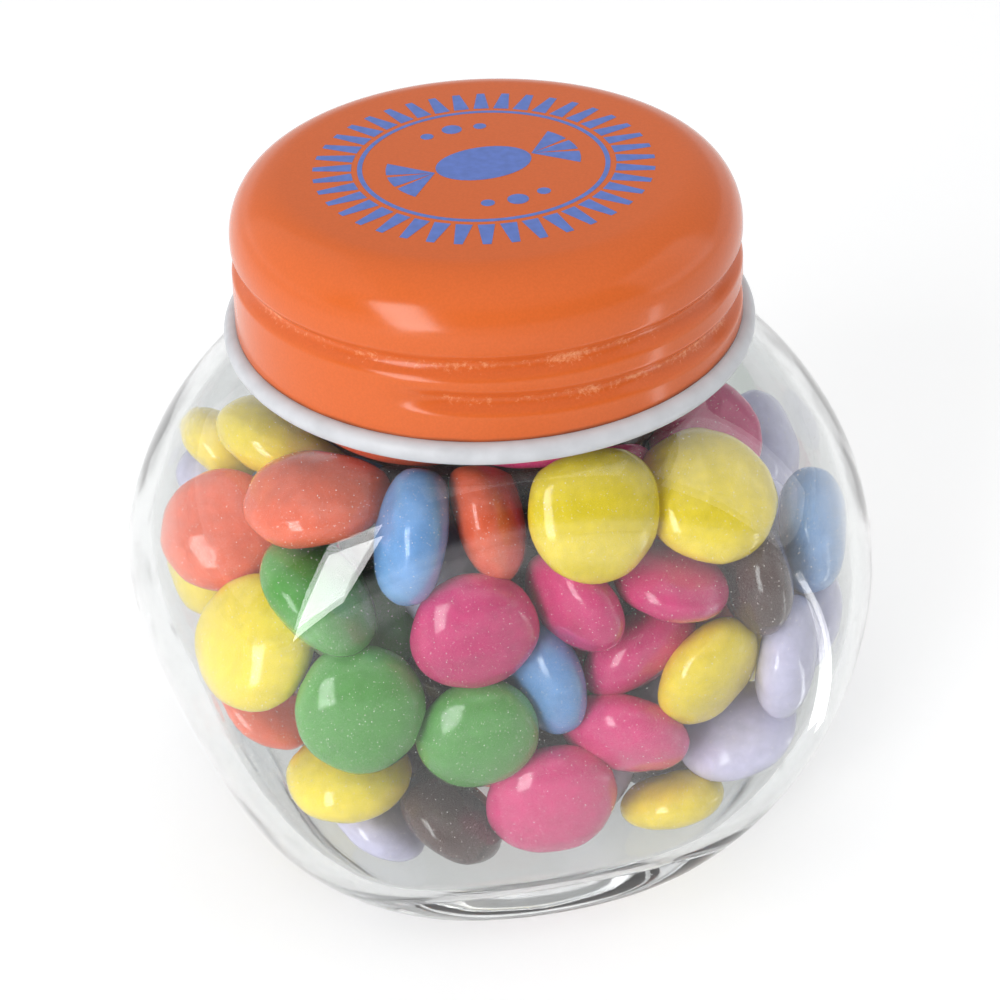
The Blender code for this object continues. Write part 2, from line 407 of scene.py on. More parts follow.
def outerRadius(direction):
    # the pressed ball with the round neck let into its top, cut off level at the mouth
    z = direction[..., 2]
    body = softGreater(pressedRadius(direction, 0, 0, glassSet["creasePower"]),
                       tubeRadius(z, glassSet["neckRadius"]), glassSet["rootPower"])
    mouth = glassSet["mouthHeight"] - glassSet["ballHeight"]
    steep = glassSet["neckFrom"]
    level = np.where(z > steep, mouth / np.maximum(z, steep), 1.0)
    return softLess(body, level, glassSet["lipPower"])


def innerRadius(direction):
    g = glassSet
    return softGreater(pressedRadius(direction, g["wall"], g["floor"], g["innerPower"]),
                       tubeRadius(direction[..., 2], g["boreRadius"]), g["rootPower"])


def polarDirections(slopes):
    turn = np.linspace(0, 2 * math.pi, glassSet["around"], endpoint=False)
    slopes = slopes[:, None]
    x = np.sin(slopes) * np.cos(turn)
    y = np.sin(slopes) * np.sin(turn)
    z = np.cos(slopes) * np.ones_like(turn)
    return np.stack([x, y, z], axis=-1)


def pushUp(points):
    # the shallow ring-shaped foot: the middle of the base is pushed up a little
    across = np.hypot(points[..., 0], points[..., 1])
    rise = np.clip((glassSet["recessRadius"] - across) / glassSet["recessSlope"], 0, 1)
    rise = rise * rise * (3 - 2 * rise) * glassSet["recessDepth"]
    low = points[..., 2] < glassSet["footTop"]
    points[..., 2] = np.where(low, np.maximum(points[..., 2], 0) + rise, points[..., 2])
    return points


def makeGlass():
    g = glassSet
    lip = math.atan(g["boreRadius"] / (g["mouthHeight"] - g["ballHeight"]))
    outerPole, innerPole = [math.pi - gap for gap in g["poleGap"]]
    direction = polarDirections(np.linspace(outerPole, lip, g["outerRows"]))
    outside = pushUp(middle + direction * outerRadius(direction)[..., None])
    direction = polarDirections(np.linspace(lip + g["lipStep"], innerPole, g["innerRows"]))
    inside = middle + direction * innerRadius(direction)[..., None]
    footMiddle = (0, 0, g["recessDepth"])
    floorMiddle = (0, 0, inside[-1, :, 2].mean())
    mesh = ringMesh("glass", np.concatenate([outside, inside]), footMiddle, floorMiddle)
    glass = newPiece("glass", mesh, clearGlass())
    glass.visible_shadow = False
    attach(glass, "root")
    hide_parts("jar")
    print("glass: %d faces" % len(mesh.polygons))
    return glass, inside


def clearGlass():
    # faint waves from the mould, and a breath of fingermarks in the gloss
    g = glassSet
    finish, tree, shader = newFinish("clearGlass", g["tint"], g["smooth"])
    shader.inputs["Transmission Weight"].default_value = 1
    shader.inputs["IOR"].default_value = g["bending"]
    shader.inputs["Coat Weight"].default_value = g["coat"]
    shader.inputs["Coat Roughness"].default_value = g["smooth"]
    addBump(tree, shader, noiseNode(tree, g["waveScale"], 1.5, 0.4), g["waveHeight"], 0.002)
    smears = noiseNode(tree, g["smearScale"], 4)
    spread = rangeNode(tree, smears, 0.4, 0.8, g["smearRoughness"])
    tree.links.new(spread, shader.inputs["Roughness"])
    return finish


dustSet = {
    "count": 8000,
    "smallest": 0.00002,
    "largest": 0.00005,
    "lift": 0.99,             # how near the wall it clings, as a share of the way from the middle
    "firstRow": 10,           # of the inner wall's rows, below the mouth
    "seed": 5,
    "dull": (0.62, 0.56, 0.52),
    "pale": (0.88, 0.86, 0.84),
    "mottleScale": 800,
    "roughness": 0.7,
}


def dustTree():
    # grains strewn over a surface, each a little ball of its own size
    tree, given = newTree("dustStrewn", [
        ("Density", "NodeSocketFloat", 1000.0),
        ("Smallest", "NodeSocketFloat", 0.00002),
        ("Largest", "NodeSocketFloat", 0.00006),
        ("Seed", "NodeSocketInt", 0),
        ("Sugar", "NodeSocketMaterial", None),
    ])
    strew = addNode(tree, "GeometryNodeDistributePointsOnFaces",
                    {"Mesh": given["Geometry"], "Density": given["Density"], "Seed": given["Seed"]})
    size = addNode(tree, "FunctionNodeRandomValue",
                   {2: given["Smallest"], 3: given["Largest"], 8: given["Seed"]})
    grain = addNode(tree, "GeometryNodeMeshIcoSphere", {"Radius": 1.0, "Subdivisions": 1})
    spread = addNode(tree, "GeometryNodeInstanceOnPoints",
                     {"Points": strew.outputs["Points"], "Instance": grain.outputs["Mesh"],
                      "Scale": size.outputs[1]})
    return endTree(tree, spread.outputs["Instances"], given["Sugar"])


def makeDust(innerWall):
    # sugar rubbed off the sweets clings to the inside of the glass
    d = dustSet
    rings = middle + (innerWall[d["firstRow"]:] - middle) * d["lift"]
    wall = ringMesh("dustWall", rings)
    area = sum(face.area for face in wall.polygons)
    finish, tree, shader = newFinish("sugarDust", d["pale"], d["roughness"])
    tone = blendTones(tree, noiseNode(tree, d["mottleScale"], 1), 0.3, 0.7, d["dull"], d["pale"])
    tree.links.new(tone, shader.inputs["Base Color"])
    dust = growPiece("sugarDust", wall, dustTree(), {
        "Density": d["count"] / area,
        "Smallest": d["smallest"],
        "Largest": d["largest"],
        "Seed": d["seed"],
        "Sugar": finish,
    })
    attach(dust, "root")
    print("sugarDust: %d faces" % len(dust.data.polygons))


lidSet = {
    "edge": 0.0508,
    "top": 0.0641,
    "wall": 0.0010,
    "bore": 0.0203,
    "shoulderRadius": 0.0210,
    "shoulderRound": 0.0050,
    "shoulderPower": 2.1,      # a little squarer than a round corner
    "skirtRadius": 0.02145,
    "foot": 0.0004,            # how far above the edge the skirt turns in under the rolled rim
    "rimRadius": 0.0225,
    "rimTube": 0.0009,
    "rimDrop": 0.0001,
    "grooveDepth": 0.00074,
    "grooveHalf": 0.00125,
    "groovePitch": 0.0040,
    "upperGroove": 0.0069,
    "lowerGroove": 0.0042,
    "lowerStart": math.radians(-121),
    "lowerTurn": math.radians(190),
    "grooveFade": math.radians(12),
    "around": 360,
    "firstRing": 0.0008,
    "topRings": 14,
    "shoulderRings": 30,
    "skirtRings": 64,
    "cornerRings": 8,
    "rimRings": 29,
    "rimTurn": (100, -248),    # where the rolled edge starts and ends, in degrees
    "enamel": (0.625, 0.122, 0.025),
    "enamelRoughness": 0.18,
    "enamelGloss": 0.30,
    "mottleScale": 5000,
    "peelScale": 900,
    "peelHeight": 0.08,
    "scuff": (0.82, 0.34, 0.16),
    "scuffFrom": (0.80, 1.08),
    "patchScale": 260,
    "patchShare": 0.62,
    "fleckScale": 2600,
    # a darker band at the foot of the skirt, just above the rolled edge
    "footDark": (0.24, 0.060, 0.026),
    "footDarkFrom": (0.0013, 0.0010),     # above the edge
    "footDarkUneven": 0.0004,
    "rimTone": (0.565, 0.575, 0.60),
    "rimRoughness": 0.42,
    "rimGloss": 0.4,
    "rimScuffScale": 500,
    "rimScuffHeight": 0.12,
}


def grooveDip(offset):
    reach = np.clip(np.abs(offset) / lidSet["grooveHalf"], 0, 1)
    return 0.5 + 0.5 * np.cos(math.pi * reach)


def grooveDepth(angle, height):
    # a level groove above, and below it the thread's own, which starts at the front left
    upper = grooveDip(height - lidSet["upperGroove"])
    travel = (angle - lidSet["lowerStart"]) % (2 * math.pi)
    drop = lidSet["groovePitch"] * travel / (2 * math.pi)
    fade = np.minimum(travel, lidSet["lowerTurn"] - travel) / lidSet["grooveFade"]
    lower = grooveDip(height - lidSet["lowerGroove"] + drop) * np.clip(fade, 0, 1)
    return lidSet["grooveDepth"] * np.maximum(upper, lower)


def arcPoints(centre, radius, start, stop, steps):
    angles = np.radians(np.linspace(start, stop, steps + 1))
    return [(centre[0] + radius * math.cos(a), centre[1] + radius * math.sin(a)) for a in angles]


def turnedRings(profile, around):
    turn = np.linspace(0, 2 * math.pi, around, endpoint=False)
    profile = np.array(profile)
    x = profile[:, :1] * np.cos(turn)
    y = profile[:, :1] * np.sin(turn)
    z = profile[:, 1:] * np.ones_like(turn)
    return np.stack([x, y, z], axis=-1)


def lidProfile():
    # half a section of the cap: its outside from the top down, and its inside going up
    s = lidSet
    crown = s["top"] - s["shoulderRound"]
    flatEnd = s["shoulderRadius"] - s["shoulderRound"]
    outside = [(r, s["top"]) for r in np.linspace(s["firstRing"], flatEnd, s["topRings"])]
    power = s["shoulderPower"]
    for x, z in arcPoints((0, 0), 1, 89, 0, s["shoulderRings"]):
        sharp = s["shoulderRound"] / (x ** power + z ** power) ** (1 / power)
        outside.append((flatEnd + x * sharp, crown + z * sharp))
    foot = s["edge"] + s["foot"]
    for part in np.linspace(0, 1, s["skirtRings"])[1:]:
        outside.append((s["shoulderRadius"] + (s["skirtRadius"] - s["shoulderRadius"]) * part,
                        crown + (foot - crown) * part))
    ceiling = s["top"] - s["wall"]
    corner = s["shoulderRound"] - s["wall"]
    inside = [(s["bore"], foot)]
    inside += arcPoints((s["bore"] - corner, ceiling - corner), corner, 0, 90, s["cornerRings"])
    return outside, inside


def makeLid():
    # the cap, with the grooves pressed into its skirt
    s = lidSet
    outside, inside = lidProfile()
    rings = turnedRings(outside + inside, s["around"])
    across = np.hypot(rings[..., 0], rings[..., 1])
    height = rings[..., 2] - s["edge"]
    angle = np.arctan2(rings[..., 1], rings[..., 0])
    skirtTop = s["top"] - s["shoulderRound"] - s["edge"] + 0.001
    pressed = (np.arange(len(rings)) < len(outside))[:, None] & (height < skirtTop)
    dip = np.where(pressed, grooveDepth(angle, height), 0)
    rings[..., :2] *= (1 - dip / across)[..., None]
    mesh = ringMesh("lidCap", rings, (0, 0, s["top"]), (0, 0, s["top"] - s["wall"]))
    worn = np.concatenate([(dip / s["grooveDepth"]).ravel(), [0, 0]])
    mesh.attributes.new("worn", "FLOAT", "POINT").data.foreach_set("value", worn)
    lid = newPiece("lidCap", mesh, orangeEnamel())
    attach(lid, "root")
    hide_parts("lid")
    print("lidCap: %d faces" % len(mesh.polygons))


def orangeEnamel():
    # even enamel with a fine orange peel, scuffed pale in the grooves and darker at its foot, just
    # above the rolled edge
    s = lidSet
    finish, tree, shader = newFinish("orangeEnamel", s["enamel"], s["enamelRoughness"])
    shader.inputs["Specular IOR Level"].default_value = s["enamelGloss"]
    even = blendTones(tree, noiseNode(tree, s["mottleScale"], 3), 0.35, 0.65,
                      scaled(s["enamel"], 0.96), scaled(s["enamel"], 1.03))
    worn = addNode(tree, "ShaderNodeAttribute", attribute_name="worn").outputs["Fac"]
    patches = noiseNode(tree, s["patchScale"], 2)
    flecks = noiseNode(tree, s["fleckScale"], 6, 0.7)
    rubbed = mathNode(tree, "MULTIPLY", worn, patches)
    wear = mathNode(tree, "MULTIPLY_ADD", rubbed, s["patchShare"], flecks)
    scuffed = mixTones(tree, rangeNode(tree, wear, *s["scuffFrom"]), even, (*s["scuff"], 1))
    height = addNode(tree, "ShaderNodeSeparateXYZ", {0: objectPlace(tree)}).outputs["Z"]
    # the skirt turns darker towards its foot, in an uneven band
    uneven = mathNode(tree, "MULTIPLY_ADD", patches, s["footDarkUneven"], height)
    foot = rangeNode(tree, uneven, *[s["edge"] + above for above in s["footDarkFrom"]])
    tree.links.new(mixTones(tree, foot, scuffed, (*s["footDark"], 1)), shader.inputs["Base Color"])
    addBump(tree, shader, noiseNode(tree, s["peelScale"], 2), s["peelHeight"], 0.0001)
    return finish


def makeRim():
    # the skirt's end rolled outwards, bare of enamel
    s = lidSet
    centre = (s["rimRadius"] - s["rimTube"], s["edge"] - s["rimDrop"])
    profile = arcPoints(centre, s["rimTube"], *s["rimTurn"], s["rimRings"])
    mesh = ringMesh("lidRim", turnedRings(profile, s["around"]), looped=True)
    rim = newPiece("lidRim", mesh, greyLacquer())
    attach(rim, "root")
    print("lidRim: %d faces" % len(mesh.polygons))


def greyLacquer():
    s = lidSet
    finish, tree, shader = newFinish("greyLacquer", s["rimTone"], s["rimRoughness"])
    shader.inputs["Specular IOR Level"].default_value = s["rimGloss"]
    scuffs = noiseNode(tree, s["rimScuffScale"], 5)
    tone = blendTones(tree, scuffs, 0.3, 0.6, scaled(s["rimTone"], 0.88), s["rimTone"])
    tree.links.new(tone, shader.inputs["Base Color"])
    addBump(tree, shader, scuffs, s["rimScuffHeight"], 0.0001)
    return finish


printSet = {
    "lift": 0.00003,
    "sunk": 0.00001,
    "raysInner": 0.0107,
    "raysOuter": 0.0138,
    "rayWidth": (0.78, 0.30),      # inner and outer end, as a share of the room for one ray
    "rayCount": 40,
    "ringInner": 0.0098,
    "ringOuter": 0.0102,
    "ringSteps": 120,
    "turn": math.radians(12),
    "sweetWide": 0.0040,
    "sweetTall": 0.0029,
    "fanFrom": 0.0042,
    "fanBack": 0.0030,
    "fanLong": 0.0050,
    "fanTall": 0.0056,
    "fanFolds": ((-0.62, -0.24), (-0.16, 0.16), (0.24, 0.62)),
    "dotRing": 0.0071,
    "dotStep": 0.34,
    "dotBig": 0.00085,
    "dotSmall": 0.00055,
    "ink": (0.10, 0.17, 0.50),
    "grainScale": 1500,
    "roughness": 0.42,
}


def flatShape(bm, outline, height, lift):
    # a thin flat shape with its outline given in metres
    low = [bm.verts.new((x, y, height)) for x, y in outline]
    high = [bm.verts.new((x, y, height + lift)) for x, y in outline]
    bm.faces.new(high)
    bm.faces.new(list(reversed(low)))
    for i in range(len(outline)):
        j = (i + 1) % len(outline)
        bm.faces.new((low[i], low[j], high[j], high[i]))


def printedMesh(name, shapes):
    # thin flat shapes on the lid's top, their outlines in metres
    height = lidSet["top"] - printSet["sunk"]
    bm = bmesh.new()
    for outline in shapes:
        flatShape(bm, outline, height, printSet["lift"])
    bmesh.ops.recalc_face_normals(bm, faces=bm.faces)
    mesh = bpy.data.meshes.new(name)
    bm.to_mesh(mesh)
    bm.free()
    return mesh


def rayTree():
    # copies of one shape turned evenly round the lid's middle
    tree, given = newTree("raysRound", [
        ("Count", "NodeSocketInt", 40),
        ("Ink", "NodeSocketMaterial", None),
    ])
    spots = addNode(tree, "GeometryNodePoints", {"Count": given["Count"]})
    step = mathNode(tree, "DIVIDE", 2 * math.pi, given["Count"])
    index = addNode(tree, "GeometryNodeInputIndex").outputs[0]
    turn = addNode(tree, "ShaderNodeCombineXYZ", {"Z": mathNode(tree, "MULTIPLY", index, step)})
    facing = addNode(tree, "FunctionNodeEulerToRotation", {"Euler": turn.outputs[0]})
    spread = addNode(tree, "GeometryNodeInstanceOnPoints",
                     {"Points": spots.outputs[0], "Instance": given["Geometry"],
                      "Rotation": facing.outputs["Rotation"]})
    return endTree(tree, spread.outputs["Instances"], given["Ink"])


def polar(radius, angle):
    return radius * math.cos(angle), radius * math.sin(angle)


def roundOutline(x, y, wide, tall, steps):
    return [(x + wide * math.cos(a), y + tall * math.sin(a))
            for a in np.linspace(0, 2 * math.pi, steps, endpoint=False)]


def sweetShapes():
    # a sweet in twisted paper with three dots above and below it, inside a thin ring
    p = printSet
    shapes = [roundOutline(0, 0, p["sweetWide"], p["sweetTall"], 48)]
    for side in (-1, 1):
        for low, high in p["fanFolds"]:
            fan = [(p["fanFrom"] * side, 0.0)]
            for a in np.linspace(low, high, 6):
                fan.append((side * (p["fanBack"] + p["fanLong"] * math.cos(a)),
                            p["fanTall"] * math.sin(a)))
            shapes.append(fan)
        for step in (-p["dotStep"], 0, p["dotStep"]):
            size = p["dotBig"] if step == 0 else p["dotSmall"]
            x, y = polar(p["dotRing"], side * math.pi / 2 + step)
            shapes.append(roundOutline(x, y, size, size, 16))
    cos, sin = math.cos(p["turn"]), math.sin(p["turn"])
    shapes = [[(x * cos - y * sin, x * sin + y * cos) for x, y in outline] for outline in shapes]
    angles = np.linspace(0, 2 * math.pi, p["ringSteps"] + 1)
    for a, b in zip(angles[:-1], angles[1:]):
        shapes.append([polar(p["ringInner"], a), polar(p["ringOuter"], a),
                       polar(p["ringOuter"], b), polar(p["ringInner"], b)])
    return shapes


def makePrint():
    # a ring of rays round the sweet
    p = printSet
    ink = blueInk()
    inner, outer = [width * math.pi / p["rayCount"] for width in p["rayWidth"]]
    ray = [polar(p["raysInner"], -inner), polar(p["raysOuter"], -outer),
           polar(p["raysOuter"], outer), polar(p["raysInner"], inner)]
    rays = growPiece("printRays", printedMesh("ray", [ray]), rayTree(),
                     {"Count": p["rayCount"], "Ink": ink})
    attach(rays, "root")
    sweet = newPiece("printSweet", printedMesh("printSweet", sweetShapes()), ink, smooth=False)
    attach(sweet, "root")
    print("print: %d faces" % (len(rays.data.polygons) + len(sweet.data.polygons)))


def blueInk():
    p = printSet
    finish, tree, shader = newFinish("blueInk", p["ink"], p["roughness"])
    tone = blendTones(tree, noiseNode(tree, p["grainScale"], 2), 0.3, 0.7,
                      scaled(p["ink"], 0.9), scaled(p["ink"], 1.1))
    tree.links.new(tone, shader.inputs["Base Color"])
    return finish


sweetSet = {
    "radius": 0.0054,
    "half": 0.0028,
    "shoulder": 0.10,         # how much fuller than an ellipse the edge is
    "unevenness": 0.00027,
    "lumpScale": 150.0,
    "sizeSpread": 0.05,
    "outOfTrue": 0.035,
    "shadeSpread": 0.06,
    "gap": 0.0004,
    "count": 152,
    "seed": 11,
    "fillTop": 0.0560,
    "heapTop": 0.0440,        # outside the neck the heap lies lower, and falls to the left
    "heapSlope": 0.16,
    "coreRadius": 0.0085,
    "coreHeight": 0.0260,
    "coreRings": 20,
    "coreAround": 32,
    "shyness": 0.0055,        # the unseen sweets stay this far back from the front glass
    "shyFront": (0.10, 0.3),  # where that begins and how soon it is full
    "shySide": (0.65, 0.2),
    "sideShare": 0.45,        # and how much of it holds at the sides
    # the unseen sweets near the front are mostly brown: real brown sweets that also paint the shade
    # in the gaps
    "darkFrom": 0.008,        # behind the sweets that show, the gaps are mostly dark
    "darkShare": 0.9,
}

# how the sweets are pushed apart
packSet = {
    "standIns": ((0.0022, 7, 0.00242), (0.00376, 12, 0.00160)),   # how far out, how many, radius
    "scatter": (0.032, 0.024, 0.004),     # how wide, how deep and from how low
    "seenSteps": 200,
    "restSteps": 260,
    "reach": 1.13,            # past this many widths two sweets can't touch
    "drift": 0.0004,          # how far a seen sweet may leave its line of sight
    "press": 0.4,             # how much of the gap a seen sweet may use up
    "lookFrom": 0.08,         # where along its line of sight its place is looked for
    "lookLong": 0.09,
    "lookSteps": 451,
    "wallPush": 1.5,
    "corePush": 0.5,
    "settle": 0.00002,        # how far each step sinks, in the first part of the steps
    "settlePart": 0.6,
    "swing": 0.9,             # how readily a sweet turns when it is pushed off its middle
    "inertia": 0.4,
    "mostTurn": 0.3,
}

shellSet = {
    "roughness": 0.13,
    "gloss": 0.7,
    "mottleScale": 900,
    "grainScale": 1400,
    "grainHeight": 0.06,
    "speckScale": 7000,
    "dust": (0.86, 0.80, 0.78),
    "dustFrom": (0.66, 0.78),
    "dustShare": 0.45,
}

shellTones = {
    "yellow": (0.83, 0.65, 0.028),
    "orangeRed": (0.76, 0.12, 0.048),
    "magenta": (0.66, 0.038, 0.19),
    "green": (0.10, 0.32, 0.07),
    "blue": (0.16, 0.34, 0.66),
    "lilac": (0.55, 0.53, 0.73),
    "brown": (0.055, 0.022, 0.018),
}


def seen(shell, x, y, turn, ratio, lean=1, deep=0.0, size=1.0):
    # one sweet that shows in the photograph: where its middle is there, which way its long
    # axis runs in degrees, how flat its outline is, and how many metres it lies back
    return dict(shell=shell, x=x, y=y, turn=turn, ratio=ratio, lean=lean, deep=deep, size=size)


seenSweets = [
    seen("yellow", x=284, y=442, turn=-17, ratio=0.60, deep=0.001, size=1.06),
    seen("yellow", x=210, y=441, turn=-40, ratio=0.56, deep=0.003, size=0.88),
    seen("lilac", x=225, y=470, turn=-10, ratio=0.62, deep=0.005, size=0.95),
    seen("orangeRed", x=224, y=534, turn=70, ratio=0.96, size=1.0),
    seen("yellow", x=202, y=556, turn=95, ratio=0.66, deep=0.008),
    seen("orangeRed", x=318, y=502, turn=12, ratio=0.66, size=1.10),
    seen("orangeRed", x=384, y=428, turn=-10, ratio=0.56, deep=0.001),
    seen("blue", x=408, y=530, turn=80, ratio=0.52, size=1.05),
    seen("lilac", x=440, y=560, turn=80, ratio=0.70, deep=0.006, size=0.92),
    seen("orangeRed", x=487, y=518, turn=-76, ratio=0.53, size=1.04),
    seen("yellow", x=599, y=511, turn=80, ratio=0.94, lean=-1, size=1.04),
    seen("yellow", x=704, y=494, turn=140, ratio=0.86, lean=-1, deep=0.0005, size=1.09),
    seen("magenta", x=702, y=438, turn=-50, ratio=0.85, deep=0.005),
    seen("magenta", x=546, y=424, turn=4, ratio=0.60, deep=0.002),
    seen("brown", x=655, y=462, turn=70, ratio=0.65, deep=0.006, size=0.95),
    seen("lilac", x=763, y=446, turn=-75, ratio=0.62, deep=0.006, size=1.0),
    seen("lilac", x=766, y=515, turn=-60, ratio=0.70, deep=0.006, size=0.92),
    seen("blue", x=819, y=529, turn=-88, ratio=0.52, deep=0.0005, size=1.05),
    seen("brown", x=755, y=578, turn=105, ratio=0.57, deep=0.001, size=0.93),
    seen("lilac", x=818, y=620, turn=85, ratio=0.55, deep=0.002),
    seen("lilac", x=786, y=655, turn=78, ratio=0.53, lean=-1, size=0.96),
    seen("orangeRed", x=728, y=607, turn=60, ratio=0.70, deep=0.006, size=0.92),
    seen("yellow", x=248, y=636, turn=80, ratio=0.86, size=1.03),
    seen("green", x=318, y=592, turn=-50, ratio=0.66, deep=0.0015),
    seen("green", x=356, y=616, turn=-20, ratio=0.84, deep=0.0045, size=0.96),
    seen("magenta", x=475, y=627, turn=19, ratio=0.82, lean=-1, size=1.02),
    seen("magenta", x=573, y=608, turn=-42, ratio=0.60, lean=-1, deep=0.0005, size=0.93),
    seen("magenta", x=669, y=587, turn=-16, ratio=0.62, deep=0.001, size=0.96),
    seen("magenta", x=640, y=654, turn=36, ratio=0.53, lean=-1, deep=0.0005, size=1.02),
    seen("yellow", x=714, y=672, turn=45, ratio=0.63, lean=-1, size=0.99),
    seen("lilac", x=736, y=735, turn=25, ratio=0.72, deep=0.001, size=1.09),
    seen("blue", x=541, y=670, turn=-58, ratio=0.64, lean=-1, deep=0.001, size=1.02),
    seen("green", x=363, y=708, turn=10, ratio=0.94, lean=-1, size=1.01),
    seen("green", x=476, y=732, turn=8, ratio=0.82, lean=-1, size=0.99),
    seen("orangeRed", x=270, y=702, turn=-20, ratio=0.78, deep=0.002, size=0.98),
    seen("yellow", x=348, y=775, turn=8, ratio=0.66, deep=0.001, size=1.12),
    seen("brown", x=450, y=820, turn=-40, ratio=0.62, deep=0.0005, size=1.00),
    seen("brown", x=418, y=790, turn=-50, ratio=0.70, deep=0.006, size=0.92),
    seen("lilac", x=384, y=826, turn=-30, ratio=0.60, deep=0.003, size=0.90),
    seen("magenta", x=555, y=802, turn=14, ratio=0.76, lean=-1, size=1.10),
    seen("brown", x=540, y=738, turn=14, ratio=0.76, deep=0.005),
    seen("magenta", x=624, y=735, turn=-12, ratio=0.60, lean=-1, size=1.03),
    seen("yellow", x=674, y=796, turn=12, ratio=0.54, deep=0.0005, size=0.90),
]


def standInBalls():
    # rings of balls that fill the shape of one lentil while the sweets are packed
    places = [(0, 0, 0)]
    sizes = [sweetSet["half"]]
    for across, count, size in packSet["standIns"]:
        for i in range(count):
            places.append((*polar(across, 2 * math.pi * i / count), 0))
            sizes.append(size)
    return np.array(places), np.array(sizes)


def roomInside(points, sizes, shy, toCamera):
    # how far each ball could still move out before it touches the glass; less than 0 is
    # through it
    s = sweetSet
    offset = points - middle
    distance = np.linalg.norm(offset, axis=-1)
    direction = offset / np.maximum(distance, 1e-6)[..., None]
    front = direction @ toCamera
    facing, aside = [np.clip((front + edge) / width, 0, 1)
                     for edge, width in (s["shyFront"], s["shySide"])]
    facing = np.maximum(facing, s["sideShare"] * aside)
    inset = glassSet["wall"] + s["gap"] + sizes + shy * facing
    floor = glassSet["floor"] + s["gap"] + sizes
    z = direction[..., 2]
    neck = tubeRadius(z, glassSet["boreRadius"] - s["gap"] - sizes)
    limit = np.maximum(pressedRadius(direction, inset, floor, glassSet["innerPower"]), neck)
    heap = s["heapTop"] + s["heapSlope"] * points[..., 0]
    across = np.hypot(points[..., 0], points[..., 1])
    heap = np.where((across < glassSet["boreRadius"]) | (np.max(shy) == 0), s["fillTop"], heap)
    steep = glassSet["neckFrom"]
    top = (heap - sizes - glassSet["ballHeight"]) / np.maximum(z, steep)
    limit = np.where(z > steep, np.minimum(limit, top), limit)
    return limit - distance, direction


def sweetFrame(normal):
    side = np.cross(normal, (0.3, 0.5, 0.81))
    side /= np.linalg.norm(side)
    return np.stack([side, np.cross(normal, side), normal], axis=1)


def throughWall(tree, eye, sight):
    # follows a line of sight into the jar, bent twice as the glass bends it
    point = Vector(eye)
    direction = Vector(sight)
    for bend in (1 / glassSet["bending"], glassSet["bending"]):
        hit, normal = tree.ray_cast(point + direction * 1e-6, direction)[:2]
        if hit is None or hit.z > lidSet["edge"]:
            break
        if normal.dot(direction) > 0:
            normal = -normal
        cosine = -normal.dot(direction)
        left = 1 - bend ** 2 * (1 - cosine ** 2)
        if left < 0:
            break
        direction = (direction * bend + normal * (bend * cosine - math.sqrt(left))).normalized()
        point = hit
    return np.array(point), np.array(direction)


def placeSeen(eye, view, glass, balls, ballSizes):
    # each seen sweet goes on its line of sight, up against the inside of the glass
    focal = cameraSet["lens"] / cameraSet["sensor"] * cameraSet["photoSide"]
    centre = cameraSet["photoSide"] / 2
    flatness = sweetSet["half"] / sweetSet["radius"]
    right, up, back = view.T
    tree = BVHTree.FromObject(glass, bpy.context.evaluated_depsgraph_get())
    places, frames, sights = [], [], []
    for sweet in seenSweets:
        sight = right * (sweet["x"] - centre) / focal - up * (sweet["y"] - centre) / focal - back
        sight /= np.linalg.norm(sight)
        start, sight = throughWall(tree, eye, sight)
        turn = math.radians(sweet["turn"])
        short = right * -math.sin(turn) + up * math.cos(turn)
        short -= sight * (short @ sight)
        short /= np.linalg.norm(short)
        facing = math.sqrt(max(0, (sweet["ratio"] ** 2 - flatness ** 2) / (1 - flatness ** 2)))
        normal = -sight * facing + short * math.sqrt(1 - facing ** 2) * sweet["lean"]
        basis = sweetFrame(normal / np.linalg.norm(normal))
        offsets = balls @ basis.T * sweet["size"]
        nearest = max(0, packSet["lookFrom"] - np.linalg.norm(start - eye))
        travel = np.linspace(nearest, nearest + packSet["lookLong"], packSet["lookSteps"])
        spots = start + sight * travel[:, None, None] + offsets
        sizes = np.broadcast_to(ballSizes * sweet["size"], spots.shape[:2])
        room = roomInside(spots, sizes, 0, -sight)[0].min(axis=1)
        inside = np.nonzero(room > -sweetSet["gap"] * packSet["press"])[0]
        depth = travel[inside[0] if len(inside) else np.argmax(room)]
        places.append(start + sight * (depth + sweet["deep"]))
        frames.append(basis)
        sights.append(sight)
    return np.array(places), np.array(frames), np.array(sights)


def scatterRest(count, chance):
    # the unseen sweets start at random places inside the glass and out of the core
    s = sweetSet
    wide, deep, low = packSet["scatter"]
    places = []
    while len(places) < count:
        spot = chance.uniform((-wide, -deep, low), (wide, deep, s["fillTop"]))
        room = roomInside(spot[None], np.array([s["half"]]), 0, np.array([0.0, -1.0, 0.0]))[0][0]
        core = np.linalg.norm(spot - (0, 0, s["coreHeight"]))
        if room > 0 and core > s["coreRadius"]:
            places.append(spot)
    normals = chance.normal(size=(count, 3))
    normals /= np.linalg.norm(normals, axis=1)[:, None]
    return np.array(places), np.array([sweetFrame(n) for n in normals])


